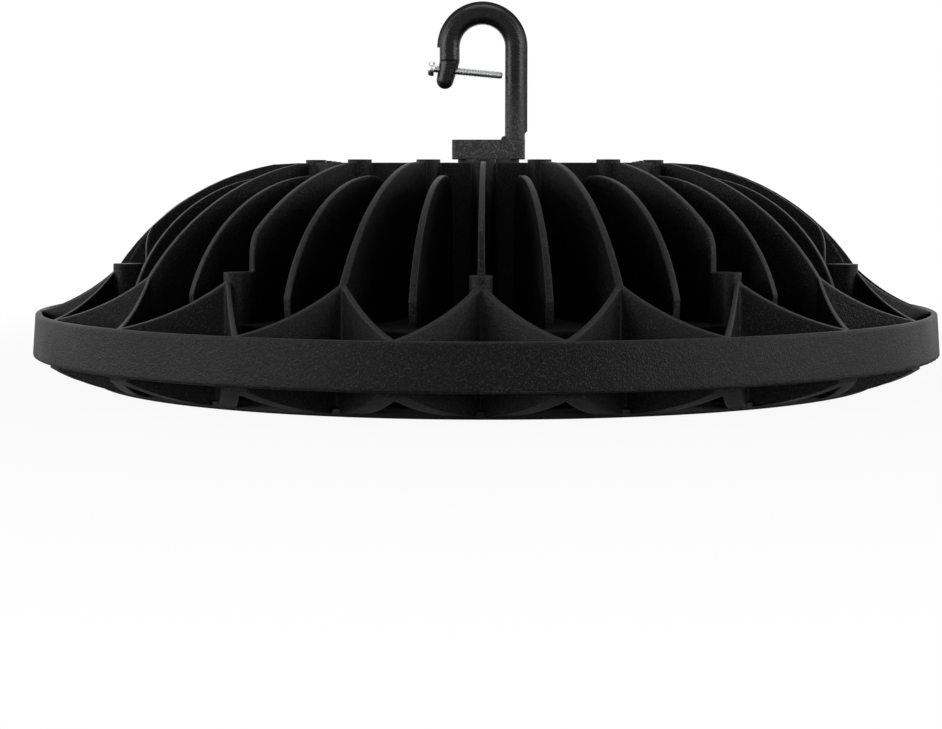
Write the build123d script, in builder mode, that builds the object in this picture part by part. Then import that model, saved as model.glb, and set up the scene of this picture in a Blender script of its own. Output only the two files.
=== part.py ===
from build123d import *
from math import cos, radians, sin, tan
import os

# Round LED high bay light, standing on its clamp ring: Z up, lamp axis on Z, hook in the XZ plane with
# its mouth towards -X, first main fin towards -Y. Millimetres.

# Driving dimensions of the casting
rim_radius = 170.0
rim_lean = 1.2
rim_height = 15.6
rim_wall = 2.5
rim_edge_round = 0.8
rim_top_z = 26.0

fin_pairs = 10
main_fins = 2 * fin_pairs
fin_pitch = 360 / main_fins

deck_z = 27.0
deck_step = 2.0
deck_thickness = 5.0
skirt_wall = 3.0
land_z = 18.0
board_recess_gap = 1.5

fin_top_z = 80.6
fin_tip_thickness = 1.7
fin_root_thickness = 2.6
fin_bulge_run = 25.0
fin_bulge_drop = 14.3
fin_shoulder_run = 22.0
fin_shoulder_drop = 0.5
fin_crown_run = 13.0

web_depth = 29.0
apex_rise = 15.4
foot_inset = 3.0
web_root_thickness = 2.6
web_draft = 1.0
web_flare_run = 11.4
web_flare_drop = 9.4
web_foot_drop = 0.2
web_base_growth = 2.8
web_base_top_z = 10.0
web_shoulder_height = 9.0
web_under_rim_drop = 1.4
web_belly_run = 9.0
web_belly_z = 4.3
web_low_z = 1.1

boss_width = 7.4
boss_length = 11.7
boss_step = 0.3
boss_rise = 2.8
boss_fin_inset = 1.2
boss_fin_rise = 10.8
boss_fin_shoulder_run = 5.2
boss_fin_shoulder_rise = 16.0
boss_fin_cut = 8.0

short_fin_drop = 4.8
short_fin_gap = 14.5
short_fin_crown_run = 11.5
short_fin_bulge_run = 19.5
short_fin_bulge_drop = 12.0
short_fin_end_inset = 1.0
short_fin_end_rise = 9.0
short_fin_inner_round = 10.0
gap_fin_gap = 40.0

box_side = 120.0
box_corner = 12.0
box_wall = 3.0
box_top_z = 80.4
column_width = 8.4
column_rise = 0.9

# Driving dimensions of the cover and its screws
cover_thickness = 3.5
cover_clearance = 0.4
cover_ledge = 2.5
gasket_thickness = 1.2
cover_boss_diameter = 8.0
cover_boss_overlap = 1.0
cover_screw_diameter = 4.0
cover_screw_length = 14.0
countersunk_head_ratio = 1.9

# Driving dimensions of the hook
hook_x = 1.1
hook_foot_length = 27.6
hook_foot_depth = 16.0
hook_foot_height = 7.3
hook_foot_round = 0.8
hook_arm_centre_x = 11.1
hook_bend_radius = 12.4
hook_bend_z = 124.5
hook_arm_width = 7.6
hook_arm_depth = 9.0
hook_rib_rise = 0.9
hook_rib_depth = 3.6
hook_rib_start_z = 93.0
hook_bend_end_drop = 5.0
hook_tip_diameter = 6.5
hook_tip_lean = 1.8
hook_tip_drop = 12.4
hook_washer_diameter = 23.4
hook_washer_thickness = 1.9
hook_bolt_diameter = 8.0
hook_bolt_head = 13.0
hook_bolt_head_height = 5.3
hook_bolt_grip = 5.5
hook_heel_round = 1.5
lock_washer_thickness = 2.0
lock_washer_diameter = 14.8

safety_screw_diameter = 3.0
safety_screw_length = 26.0
safety_head_diameter = 5.5
safety_head_height = 2.4
safety_head_reach = 5.0
safety_screw_tilt = 5.5
safety_screw_drop = 8.6

# Driving dimensions of the light engine
board_margin = 8.5
board_thickness = 2.0
thermal_pad_thickness = 0.5
board_hole_radius = 9.0
chip_size = 3.5
chip_height = 0.8
chip_edge_gap = 10.0
chip_rings = 5
first_chip_radius = 32.0
chips_first_ring = 10
chips_more_per_ring = 6
board_screw_diameter = 3.0
board_screw_inset = 5.5
board_screw_count = 6
board_screw_length = 6.0

lens_margin = 10.0
lens_lip = 2.0
lens_lip_height = 1.0
lens_thickness = 3.0
lens_gasket_width = 3.4
lens_gasket_thickness = 1.5

ring_overlap = 8.5
ring_thickness = 2.5
ring_lip = 5.5
ring_edge_chamfer = 0.5
collar_wall = 2.6
collar_flare = 4.2
clamp_screw_inset = 6.9
clamp_screw_diameter = 4.0
clamp_screw_length = 14.0
tap_end_gap = 1.5

# Driving dimensions of the driver, its leads and the cable inlet
driver_length = 90.0
driver_width = 78.0
driver_height = 36.0
driver_pad_thickness = 1.0
driver_foot = 10.0
driver_screw_x = 28.0
driver_foot_thickness = 2.0
driver_screw_diameter = 4.0
driver_screw_length = 6.0
lead_diameter = 2.0
lead_spacing = 4.0
lead_bend = 3.0
lead_hole_diameter = 11.0
grommet_lip = 1.5
connector_size = 9.0
connector_height = 2.0

fitting_pad_length = 15.0
fitting_pad_diameter = 19.5
wire_passage_diameter = 7.4
fitting_z = 50.0
gland_thread = 16.0
gland_thread_length = 9.0
gland_flats = 18.0
gland_flange_length = 5.0
gland_collar_diameter = 14.4
gland_collar_length = 6.0
gland_bore = 9.0
gland_nut_diameter = 17.6
gland_nut_length = 14.0
gland_nut_chamfer = 2.0
gland_seal_diameter = 11.0
gland_seal_bore = 7.0
gland_seal_length = 5.0
vent_thread = 12.0
vent_thread_length = 8.0
vent_flats = 16.0
vent_length = 5.0
vent_slot_width = 2.0
seal_thickness = 1.2
fit_clearance = 0.1
running_gap = 0.3

# Radii that follow from the rim and the driver box
rim_top_radius = rim_radius - rim_lean
apex_radius = rim_radius - web_depth
foot_radius = rim_radius - foot_inset
deck_radius = apex_radius - deck_step
skirt_radius = deck_radius - skirt_wall
boss_outer_radius = apex_radius + boss_step
boss_inner_radius = boss_outer_radius - boss_length
clamp_screw_radius = boss_outer_radius - clamp_screw_inset
short_fin_inner_radius = box_side / 2 + short_fin_gap
short_fin_outer_radius = deck_radius - short_fin_end_inset
gap_fin_inner_radius = box_side / 2 + gap_fin_gap
fitting_pad_radius = box_side / 2 + fitting_pad_length
lens_radius = skirt_radius - lens_margin
ring_inner_radius = lens_radius - ring_lip
ring_outer_radius = deck_radius + ring_overlap
board_radius = lens_radius - board_margin
board_recess_radius = board_radius + board_recess_gap
board_screw_radius = board_radius - board_screw_inset
chip_ring_step = (board_screw_radius - chip_edge_gap - first_chip_radius) / (chip_rings - 1)

# Levels that follow from the stack
rim_bottom_z = rim_top_z - rim_height
apex_z = rim_top_z + apex_rise
boss_top_z = apex_z + boss_rise
boss_fin_shoulder_z = boss_top_z + boss_fin_shoulder_rise
short_fin_top_z = fin_top_z - short_fin_drop
deck_under_z = deck_z - deck_thickness
cover_under_z = box_top_z - cover_thickness
gasket_under_z = cover_under_z - gasket_thickness
board_top_z = deck_under_z - thermal_pad_thickness
board_under_z = board_top_z - board_thickness
lens_top_z = land_z - lens_gasket_thickness
lens_under_z = lens_top_z - lens_thickness
washer_top_z = box_top_z + hook_washer_thickness
column_top_z = fin_top_z + column_rise
web_seat_z = ring_thickness + running_gap
hook_arm_outer = hook_arm_width / 2
hook_foot_top_z = washer_top_z + hook_foot_height

# Angles of the fins from the first one, and of the two places at the rear that a fitting needs free
fitting_angles = [(main_fins - 1) * fin_pitch / 2, (main_fins + 1) * fin_pitch / 2]
short_fin_angles = [
    (step + 0.5) * fin_pitch for step in range(main_fins) if (step + 0.5) * fin_pitch not in fitting_angles
]
gap_fin_angles = fitting_angles[1:]
column_angles = [
    step * fin_pitch
    for step in range(main_fins)
    if min(abs(step * fin_pitch - angle) for angle in fitting_angles) > fin_pitch
]
cavity_side = box_side - 2 * box_wall - 2 * cover_ledge
cover_side = box_side - 2 * box_wall - 2 * cover_clearance
cover_screw_reach = cavity_side / 2 - cover_boss_diameter / 2 + cover_boss_overlap
cover_screw_points = [
    (across * cover_screw_reach, along * cover_screw_reach)
    for across in (-1, 0, 1)
    for along in (-1, 0, 1)
    if across or along
]
driver_screw_points = [
    (across * driver_screw_x, along * (driver_width + driver_foot) / 2) for across in (-1, 1) for along in (-1, 1)
]
driver_pad_width = driver_width - 4
grommet_bore = lead_hole_diameter - 4

# The hook's tip hangs from the end of its bend and leans outwards; the safety screw crosses it
tip_top_x = hook_arm_centre_x - 2 * hook_bend_radius
tip_top_z = hook_bend_z - hook_bend_end_drop
tip_end_x = tip_top_x - hook_tip_lean
tip_end_z = hook_bend_z - hook_tip_drop
safety_screw_z = hook_bend_z - safety_screw_drop
safety_screw_x = tip_top_x - hook_tip_lean * (tip_top_z - safety_screw_z) / (tip_top_z - tip_end_z)
safety_head_x = safety_screw_x - safety_head_reach


def polar_point(radius, angle):
    """Plan point at a radius and an angle from the first fin, which looks along -Y."""
    return (radius * sin(radians(angle)), -radius * cos(radians(angle)))


def radial_plane(radius, angle, z):
    """Plane that faces outwards at a radius, an angle from the first fin and a height."""
    x, y = polar_point(radius, angle)
    return Plane(origin=(x, y, z), x_dir=(cos(radians(angle)), sin(radians(angle)), 0), z_dir=(x, y, 0))


def box_reach(angle):
    """Distance from the axis to the square driver box's outer face along an angle."""
    turned = abs((angle + 45) % 90 - 45)
    return box_side / 2 / cos(radians(turned))


def fin_plate(profile_part, top_z, inner, outer):
    """One fin: the radial profile cut from a plate that is thicker at the deck than at its tip."""
    with BuildPart(mode=Mode.PRIVATE) as plate:
        with BuildSketch(Plane.YZ.offset(inner)):
            with BuildLine():
                Polyline(
                    (-fin_root_thickness / 2, 0),
                    (fin_root_thickness / 2, 0),
                    (fin_root_thickness / 2, deck_z),
                    (fin_tip_thickness / 2, top_z),
                    (-fin_tip_thickness / 2, top_z),
                    (-fin_root_thickness / 2, deck_z),
                    close=True,
                )
            make_face()
        extrude(amount=outer - inner)
        add(profile_part, mode=Mode.INTERSECT)
    return plate.part


# Main fin: a long arc from the V wall's apex up to the shoulder, then level to the driver box
with BuildPart() as plain_fin_profile:
    with BuildSketch(Plane.XZ):
        with BuildLine():
            bulge = ThreePointArc(
                (apex_radius, apex_z),
                (apex_radius - fin_bulge_run, fin_top_z - fin_bulge_drop),
                (box_side / 2 + fin_shoulder_run, fin_top_z - fin_shoulder_drop),
            )
            Polyline(
                bulge @ 1,
                (box_side / 2 + fin_crown_run, fin_top_z),
                (box_side / 2 - box_wall / 2, fin_top_z),
                (box_side / 2 - box_wall / 2, deck_under_z + 1),
                (skirt_radius + 1, deck_under_z + 1),
                (skirt_radius + 1, web_seat_z),
                (apex_radius, web_seat_z),
                bulge @ 0,
            )
        make_face()
    extrude(amount=fin_root_thickness, both=True)

# Boss fin: the same arc, cut short by a steep flank that lands on the screw boss
with BuildPart() as boss_fin_profile:
    add(plain_fin_profile.part)
    with BuildSketch(Plane.XZ):
        with BuildLine():
            flank = Spline(
                (boss_inner_radius, boss_top_z - 1),
                (boss_inner_radius - boss_fin_inset, boss_top_z + boss_fin_rise),
                (boss_inner_radius - boss_fin_shoulder_run, boss_fin_shoulder_z),
                tangents=[(-0.05, 1), (-1, 0.72)],
            )
            Polyline(
                flank @ 1,
                (boss_inner_radius - boss_fin_shoulder_run + boss_fin_cut, boss_fin_shoulder_z + boss_fin_cut),
                (apex_radius + 1, boss_fin_shoulder_z),
                (apex_radius + 1, boss_top_z - 1),
                flank @ 0,
            )
        make_face()
    extrude(amount=fin_root_thickness, both=True, mode=Mode.SUBTRACT)


def short_profile(inner_radius):
    """Short fin's outline from a radius out: a tighter arc with a round inner corner, clear of the driver box."""
    with BuildPart(mode=Mode.PRIVATE) as profile:
        with BuildSketch(Plane.XZ) as outline:
            with BuildLine():
                crest = ThreePointArc(
                    (short_fin_outer_radius, deck_z + short_fin_end_rise),
                    (short_fin_outer_radius - short_fin_bulge_run, short_fin_top_z - short_fin_bulge_drop),
                    (short_fin_inner_radius + short_fin_crown_run, short_fin_top_z),
                )
                Polyline(
                    crest @ 1,
                    (short_fin_inner_radius, short_fin_top_z),
                    (short_fin_inner_radius, deck_under_z + 1),
                    (skirt_radius + 1, deck_under_z + 1),
                    crest @ 0,
                )
            make_face()
            inner_corner = outline.vertices().group_by(Axis.Y)[-1].sort_by(Axis.X)[0]
            fillet(inner_corner, short_fin_inner_round)
        extrude(amount=fin_root_thickness, both=True)
        with BuildSketch():
            Rectangle(2 * inner_radius, fin_root_thickness * 4)
        extrude(amount=fin_top_z, mode=Mode.SUBTRACT)
    return profile.part


plain_fin = fin_plate(plain_fin_profile.part, fin_top_z, 0, apex_radius)
boss_fin = fin_plate(boss_fin_profile.part, fin_top_z, 0, apex_radius)
short_fin = fin_plate(short_profile(short_fin_inner_radius - 1), fin_top_z, 0, apex_radius)
gap_fin = fin_plate(short_profile(gap_fin_inner_radius), fin_top_z, 0, apex_radius)

def zigzag_plan(growth, z):
    """Closed zigzag between the apex and foot radii at a height, grown outwards by half a wall and more."""
    with BuildSketch(Plane.XY.offset(z), mode=Mode.PRIVATE) as plan:
        with BuildLine():
            Polyline(
                *[
                    polar_point(foot_radius if step % 2 else apex_radius, step * fin_pitch / 2)
                    for step in range(2 * main_fins)
                ],
                close=True,
            )
        make_face()
        offset(amount=growth, kind=Kind.INTERSECTION)
    return plan.sketch


# V walls: one zigzag wall in plan with a draft, thickened outwards below the rim's lower edge, and trimmed
# to the flared profile above and the bowl profile below
with BuildPart() as webs:
    add(zigzag_plan(web_root_thickness / 2, 0))
    extrude(amount=apex_z + 1, taper=web_draft)
    add(zigzag_plan(web_root_thickness / 2 + web_base_growth, 0))
    extrude(amount=web_base_top_z)
    add(zigzag_plan(web_root_thickness / 2 + web_base_growth, web_base_top_z))
    add(zigzag_plan(web_root_thickness / 2 - web_root_thickness / 4, web_base_top_z + web_shoulder_height))
    loft(ruled=True)
    add(zigzag_plan(-web_root_thickness / 2, 0))
    extrude(amount=apex_z + 1, taper=-web_draft, mode=Mode.SUBTRACT)
    with BuildSketch(Plane.XZ):
        with BuildLine():
            flare = ThreePointArc(
                (apex_radius, apex_z),
                (apex_radius + web_flare_run, apex_z - web_flare_drop),
                (rim_top_radius - rim_wall / 2, rim_top_z - web_foot_drop),
            )
            belly = ThreePointArc(
                (rim_radius - rim_wall, rim_bottom_z - web_under_rim_drop),
                (rim_radius - rim_wall - web_belly_run, web_belly_z),
                (ring_outer_radius + running_gap, web_low_z),
            )
            Polyline(
                flare @ 1,
                (rim_radius - rim_wall / 2, rim_bottom_z),
                (rim_radius - rim_wall, rim_bottom_z),
                belly @ 0,
            )
            Polyline(
                belly @ 1,
                (ring_outer_radius + running_gap, web_seat_z),
                (skirt_radius, web_seat_z),
                (skirt_radius, apex_z),
                flare @ 0,
            )
        make_face()
    revolve(axis=Axis.Z, mode=Mode.INTERSECT)

# Heat sink: everything of it is one die casting
with BuildPart() as heat_sink:
    with BuildSketch(Plane.XZ):
        with BuildLine():
            Polyline(
                (0, deck_under_z),
                (board_recess_radius, deck_under_z),
                (board_recess_radius, land_z),
                (lens_radius + running_gap, land_z),
                (lens_radius + running_gap, lens_under_z + lens_lip_height),
                (lens_radius + running_gap + lens_lip, lens_under_z + lens_lip_height),
                (lens_radius + running_gap + lens_lip, land_z),
                (skirt_radius, land_z),
                (skirt_radius, ring_thickness),
                (deck_radius, ring_thickness),
                (deck_radius, deck_z),
                (0, deck_z),
                close=True,
            )
        make_face()
    revolve(axis=Axis.Z)
    with BuildSketch(Plane.XZ) as rim_section:
        with BuildLine():
            Polyline(
                (rim_radius - rim_wall, rim_bottom_z),
                (rim_radius, rim_bottom_z),
                (rim_top_radius, rim_top_z),
                (rim_top_radius - rim_wall, rim_top_z),
                close=True,
            )
        make_face()
        fillet(rim_section.vertices().group_by(Axis.Y)[-1], rim_edge_round)
        fillet(rim_section.vertices().group_by(Axis.Y)[0].sort_by(Axis.X)[-1], rim_edge_round)
    revolve(axis=Axis.Z)
    add(webs.part)
    with BuildSketch(Plane.XY.offset(web_seat_z)):
        with PolarLocations((boss_inner_radius + boss_outer_radius) / 2, fin_pairs, start_angle=-90):
            SlotOverall(boss_outer_radius - boss_inner_radius, boss_width)
    extrude(amount=boss_top_z - web_seat_z)
    with PolarLocations(0, fin_pairs, start_angle=-90):
        add(boss_fin)
    with PolarLocations(0, fin_pairs, start_angle=fin_pitch - 90):
        add(plain_fin)
    with Locations(*[Rotation(0, 0, angle - 90) for angle in short_fin_angles]):
        add(short_fin)
    with Locations(*[Rotation(0, 0, angle - 90) for angle in gap_fin_angles]):
        add(gap_fin)
    with BuildSketch(Plane.XY.offset(deck_under_z + 1)):
        RectangleRounded(box_side, box_side, box_corner)
    extrude(amount=box_top_z - deck_under_z - 1)
    with BuildSketch(Plane.XY.offset(deck_under_z + 1)):
        with Locations(*[polar_point(box_reach(angle), angle) for angle in column_angles]):
            Circle(column_width / 2)
    extrude(amount=column_top_z - deck_under_z - 1)
    for angle in fitting_angles:
        with BuildSketch(radial_plane(fitting_pad_radius, angle, fitting_z)):
            Circle(fitting_pad_diameter / 2)
        extrude(amount=-fitting_pad_length - box_wall / 2)
    with BuildSketch(Plane.XY.offset(deck_z)):
        RectangleRounded(cavity_side, cavity_side, box_corner - box_wall - cover_ledge)
    extrude(amount=column_top_z - deck_z, mode=Mode.SUBTRACT)
    with BuildSketch(Plane.XY.offset(gasket_under_z)):
        RectangleRounded(box_side - 2 * box_wall, box_side - 2 * box_wall, box_corner - box_wall)
    extrude(amount=column_top_z - gasket_under_z, mode=Mode.SUBTRACT)
    with BuildSketch(Plane.XY.offset(deck_z - 1)):
        with Locations(*cover_screw_points):
            Circle(cover_boss_diameter / 2)
    extrude(amount=gasket_under_z - deck_z + 1)
    # Tapped holes for the cover, the clamp ring, the light board and the driver
    with BuildSketch(Plane.XY.offset(gasket_under_z)):
        with Locations(*cover_screw_points):
            Circle(cover_screw_diameter / 2 + fit_clearance)
    extrude(amount=-cover_screw_length, mode=Mode.SUBTRACT)
    with BuildSketch(Plane.XY):
        with PolarLocations(clamp_screw_radius, fin_pairs, start_angle=-90):
            Circle(clamp_screw_diameter / 2 + fit_clearance)
    extrude(amount=clamp_screw_length + tap_end_gap, mode=Mode.SUBTRACT)
    with BuildSketch(Plane.XY.offset(deck_under_z)):
        with PolarLocations(board_screw_radius, board_screw_count, start_angle=-90):
            Circle(board_screw_diameter / 2 + fit_clearance)
    extrude(amount=board_screw_length - board_thickness - thermal_pad_thickness + 0.8, mode=Mode.SUBTRACT)
    with BuildSketch(Plane.XY.offset(deck_z)):
        with Locations(*driver_screw_points):
            Circle(driver_screw_diameter / 2 + fit_clearance)
    extrude(amount=driver_foot_thickness - driver_screw_length - 0.6, mode=Mode.SUBTRACT)
    with BuildSketch(Plane.XY.offset(deck_under_z)):
        Circle(lead_hole_diameter / 2)
    extrude(amount=deck_thickness, mode=Mode.SUBTRACT)
    for angle, thread in zip(fitting_angles, (gland_thread, vent_thread)):
        with BuildSketch(radial_plane(fitting_pad_radius, angle, fitting_z)):
            Circle(thread / 2 + fit_clearance)
        extrude(amount=-gland_thread_length - tap_end_gap, mode=Mode.SUBTRACT)
        with BuildSketch(radial_plane(fitting_pad_radius, angle, fitting_z)):
            Circle(wire_passage_diameter / 2)
        extrude(amount=-fitting_pad_length - 3 * box_wall, mode=Mode.SUBTRACT)


def flat_ring(outer_diameter, inner_diameter, thickness, plane):
    """Plain ring that stands on a plane and grows along its normal."""
    with BuildPart() as ring:
        with BuildSketch(plane):
            Circle(outer_diameter / 2)
            Circle(inner_diameter / 2, mode=Mode.SUBTRACT)
        extrude(amount=thickness)
    return ring.part


def countersunk_screws(diameter, length, face_z, points, upward):
    """Countersunk screws, head flush with a face, one at each plan point; upward ones are driven from below."""
    head = countersunk_head_ratio * diameter
    sense = 1 if upward else -1
    with BuildPart() as screws:
        with BuildSketch(Plane.XZ):
            with BuildLine():
                Polyline(
                    (0, 0),
                    (head / 2, 0),
                    (diameter / 2, sense * (head - diameter) / 2),
                    (diameter / 2, sense * length),
                    (0, sense * length),
                    close=True,
                )
            make_face()
        revolve(axis=Axis.Z)
    return Compound(children=[screws.part.moved(Location((x, y, face_z))) for x, y in points])


def pan_screws(diameter, length, seat_z, points, upward):
    """Pan head screws with the head's underside on a seat, one at each plan point."""
    sense = 1 if upward else -1
    with BuildPart() as screws:
        with BuildSketch(Plane.XZ):
            with BuildLine():
                Polyline(
                    (0, -sense * 0.6 * diameter),
                    (0.65 * diameter, -sense * 0.6 * diameter),
                    (0.95 * diameter, -sense * 0.3 * diameter),
                    (0.95 * diameter, 0),
                    (diameter / 2, 0),
                    (diameter / 2, sense * length),
                    (0, sense * length),
                    close=True,
                )
            make_face()
        revolve(axis=Axis.Z)
    return Compound(children=[screws.part.moved(Location((x, y, seat_z))) for x, y in points])


# Cover: square plate let into the top of the driver box, with its gasket under it
with BuildPart() as cover_plate:
    with BuildSketch(Plane.XY.offset(cover_under_z)):
        RectangleRounded(cover_side, cover_side, box_corner - box_wall - cover_clearance)
    extrude(amount=cover_thickness)
    chamfer(cover_plate.faces().sort_by(Axis.Z)[-1].edges(), 0.5)
    with Locations(*[(x, y, box_top_z) for x, y in cover_screw_points]):
        CounterSinkHole(
            cover_screw_diameter / 2 + running_gap,
            countersunk_head_ratio * cover_screw_diameter / 2 + fit_clearance,
            depth=cover_thickness + 1,
        )
    with Locations((hook_x, 0, box_top_z)):
        Hole(hook_bolt_diameter / 2 + running_gap, depth=cover_thickness + 1)

with BuildPart() as cover_gasket:
    with BuildSketch(Plane.XY.offset(gasket_under_z)):
        RectangleRounded(cover_side, cover_side, box_corner - box_wall - cover_clearance)
        RectangleRounded(cavity_side, cavity_side, box_corner - box_wall - cover_ledge, mode=Mode.SUBTRACT)
        with Locations(*cover_screw_points):
            Circle(cover_boss_diameter / 2)
            Circle(cover_screw_diameter / 2 + running_gap, mode=Mode.SUBTRACT)
    extrude(amount=gasket_thickness)

# Hook: a round-edged arm swept along a J, a rib on its back, a leaning tip and a square foot
with BuildPart() as hook:
    with BuildLine():
        arm_line = Line((hook_arm_centre_x, 0, washer_top_z + 1), (hook_arm_centre_x, 0, hook_bend_z))
        bend = ThreePointArc(
            arm_line @ 1,
            (hook_arm_centre_x - hook_bend_radius, 0, hook_bend_z + hook_bend_radius),
            (hook_arm_centre_x - 2 * hook_bend_radius, 0, hook_bend_z),
        )
        Line(bend @ 1, (tip_top_x, 0, tip_top_z))
    with BuildSketch(Plane(origin=(hook_arm_centre_x, 0, washer_top_z + 1))):
        RectangleRounded(hook_arm_width, hook_arm_depth, hook_arm_width * 0.42)
    sweep()
    with BuildSketch(Plane.XZ.offset(-hook_rib_depth / 2)):
        with BuildLine():
            back = Line(
                (hook_arm_centre_x + hook_arm_outer + hook_rib_rise, hook_rib_start_z),
                (hook_arm_centre_x + hook_arm_outer + hook_rib_rise, hook_bend_z),
            )
            crown = ThreePointArc(
                back @ 1,
                ((hook_arm_centre_x + tip_top_x) / 2, hook_bend_z + hook_bend_radius + hook_arm_outer + hook_rib_rise),
                (tip_top_x - hook_arm_outer - hook_rib_rise, hook_bend_z),
            )
            inner_crown = ThreePointArc(
                (tip_top_x - hook_arm_outer + 1, hook_bend_z),
                ((hook_arm_centre_x + tip_top_x) / 2, hook_bend_z + hook_bend_radius + hook_arm_outer - 1),
                (hook_arm_centre_x + hook_arm_outer - 1, hook_bend_z),
            )
            Line(crown @ 1, inner_crown @ 0)
            Polyline(
                inner_crown @ 1,
                (hook_arm_centre_x + hook_arm_outer - 1, hook_rib_start_z - 1),
                (hook_arm_centre_x + hook_arm_outer, hook_rib_start_z - 1),
                back @ 0,
            )
        make_face()
    extrude(amount=hook_rib_depth)
    tip_line = Vector(tip_end_x - tip_top_x, 0, tip_end_z - tip_top_z)
    with BuildSketch(Plane(origin=(tip_top_x, 0, tip_top_z), z_dir=tip_line)):
        Circle(hook_arm_outer)
    with BuildSketch(Plane(origin=(tip_end_x, 0, tip_end_z), z_dir=tip_line)):
        Circle(hook_tip_diameter / 2)
    loft()
    with Locations((tip_end_x, 0, tip_end_z)):
        Sphere(hook_tip_diameter / 2)
    with Locations((tip_top_x, 0, tip_top_z)):
        Sphere(hook_arm_outer)
    with BuildSketch(Plane.XY.offset(washer_top_z)) as foot_plan:
        with Locations((hook_x, 0)):
            RectangleRounded(hook_foot_length, hook_foot_depth, 2 * hook_foot_round)
    extrude(amount=hook_foot_height)
    with BuildSketch(Plane.XZ.offset(-hook_arm_depth / 2 + hook_heel_round)) as heel:
        with BuildLine():
            Polyline(
                (hook_arm_centre_x, hook_foot_top_z - 1),
                (hook_arm_centre_x - hook_arm_outer - hook_heel_round, hook_foot_top_z - 1),
                (hook_arm_centre_x - hook_arm_outer - hook_heel_round, hook_foot_top_z),
            )
            RadiusArc(
                (hook_arm_centre_x - hook_arm_outer - hook_heel_round, hook_foot_top_z),
                (hook_arm_centre_x - hook_arm_outer, hook_foot_top_z + hook_heel_round),
                hook_heel_round,
            )
            Polyline(
                (hook_arm_centre_x - hook_arm_outer, hook_foot_top_z + hook_heel_round),
                (hook_arm_centre_x, hook_foot_top_z + hook_heel_round),
                (hook_arm_centre_x, hook_foot_top_z - 1),
            )
        make_face()
    extrude(amount=hook_arm_depth - 2 * hook_heel_round)
    with Locations((hook_x, 0, washer_top_z)):
        Cylinder(
            hook_bolt_diameter / 2 + fit_clearance,
            hook_bolt_grip + 0.5,
            align=(Align.CENTER, Align.CENTER, Align.MIN),
            mode=Mode.SUBTRACT,
        )
    with Locations(
        Location((safety_screw_x, 0, safety_screw_z), (0, 90 + safety_screw_tilt, 0)),
    ):
        Cylinder(safety_screw_diameter / 2 + fit_clearance, 2 * hook_arm_width, mode=Mode.SUBTRACT)

hook_washer = flat_ring(
    hook_washer_diameter,
    hook_bolt_diameter + 2 * running_gap,
    hook_washer_thickness,
    Plane(origin=(hook_x, 0, box_top_z)),
)

hook_lock_washer = flat_ring(
    lock_washer_diameter,
    hook_bolt_diameter + 2 * running_gap,
    -lock_washer_thickness,
    Plane(origin=(hook_x, 0, cover_under_z)),
)

with BuildPart() as hook_bolt:
    with BuildSketch(Plane(origin=(hook_x, 0, cover_under_z - lock_washer_thickness))):
        Circle(hook_bolt_diameter / 2)
    extrude(amount=lock_washer_thickness + cover_thickness + hook_washer_thickness + hook_bolt_grip)
    with BuildSketch(Plane(origin=(hook_x, 0, cover_under_z - lock_washer_thickness))):
        RegularPolygon(hook_bolt_head / 2, 6, major_radius=False)
    extrude(amount=-hook_bolt_head_height)

# Safety screw: pan head with a cross recess, across the hook's mouth
screw_axis_plane = Plane(
    origin=(
        safety_head_x,
        0,
        safety_screw_z + safety_head_reach * tan(radians(safety_screw_tilt)),
    ),
    x_dir=(0, 1, 0),
    z_dir=(cos(radians(safety_screw_tilt)), 0, -sin(radians(safety_screw_tilt))),
)
with BuildPart() as safety_screw:
    with BuildSketch(screw_axis_plane):
        Circle(safety_screw_diameter / 2)
    extrude(amount=safety_screw_length)
    with BuildSketch(screw_axis_plane):
        Circle(safety_head_diameter / 2)
    extrude(amount=-safety_head_height)
    fillet(safety_screw.faces().sort_by(Axis.X)[0].edges(), safety_head_height * 0.45)
    with BuildSketch(screw_axis_plane.offset(-safety_head_height)):
        Rectangle(safety_head_diameter * 0.5, safety_head_diameter * 0.14)
        Rectangle(safety_head_diameter * 0.14, safety_head_diameter * 0.5)
    extrude(amount=safety_head_height * 0.6, mode=Mode.SUBTRACT)

# Driver: a potted box with four feet on its pad, and its leads down to the board
with BuildPart() as led_driver:
    with BuildSketch(Plane.XY.offset(deck_z + driver_pad_thickness)):
        RectangleRounded(driver_length, driver_width, 3)
    extrude(amount=driver_height)
    chamfer(led_driver.faces().sort_by(Axis.Z)[-1].edges(), 1)
    with BuildSketch(Plane.XY.offset(deck_z)):
        with Locations(*driver_screw_points):
            RectangleRounded(driver_foot * 1.2, driver_foot, 2)
    extrude(amount=driver_foot_thickness)
    with BuildSketch(Plane.XY.offset(deck_z)):
        with Locations(*driver_screw_points):
            Circle(driver_screw_diameter / 2 + running_gap)
    extrude(amount=driver_foot_thickness, mode=Mode.SUBTRACT)

with BuildPart() as driver_pad:
    with BuildSketch(Plane.XY.offset(deck_z)):
        RectangleRounded(driver_length - 4, driver_pad_width, 3)
        Circle(lead_hole_diameter / 2 + grommet_lip + running_gap, mode=Mode.SUBTRACT)
    extrude(amount=driver_pad_thickness)

with BuildPart() as lead_grommet:
    with BuildSketch(Plane.XZ):
        with BuildLine():
            Polyline(
                (grommet_bore / 2, deck_under_z),
                (lead_hole_diameter / 2 - fit_clearance, deck_under_z),
                (lead_hole_diameter / 2 - fit_clearance, deck_z),
                (lead_hole_diameter / 2 + grommet_lip, deck_z),
                (lead_hole_diameter / 2 + grommet_lip, deck_z + driver_pad_thickness / 2),
                (grommet_bore / 2, deck_z + driver_pad_thickness / 2),
                close=True,
            )
        make_face()
    revolve(axis=Axis.Z)



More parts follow.
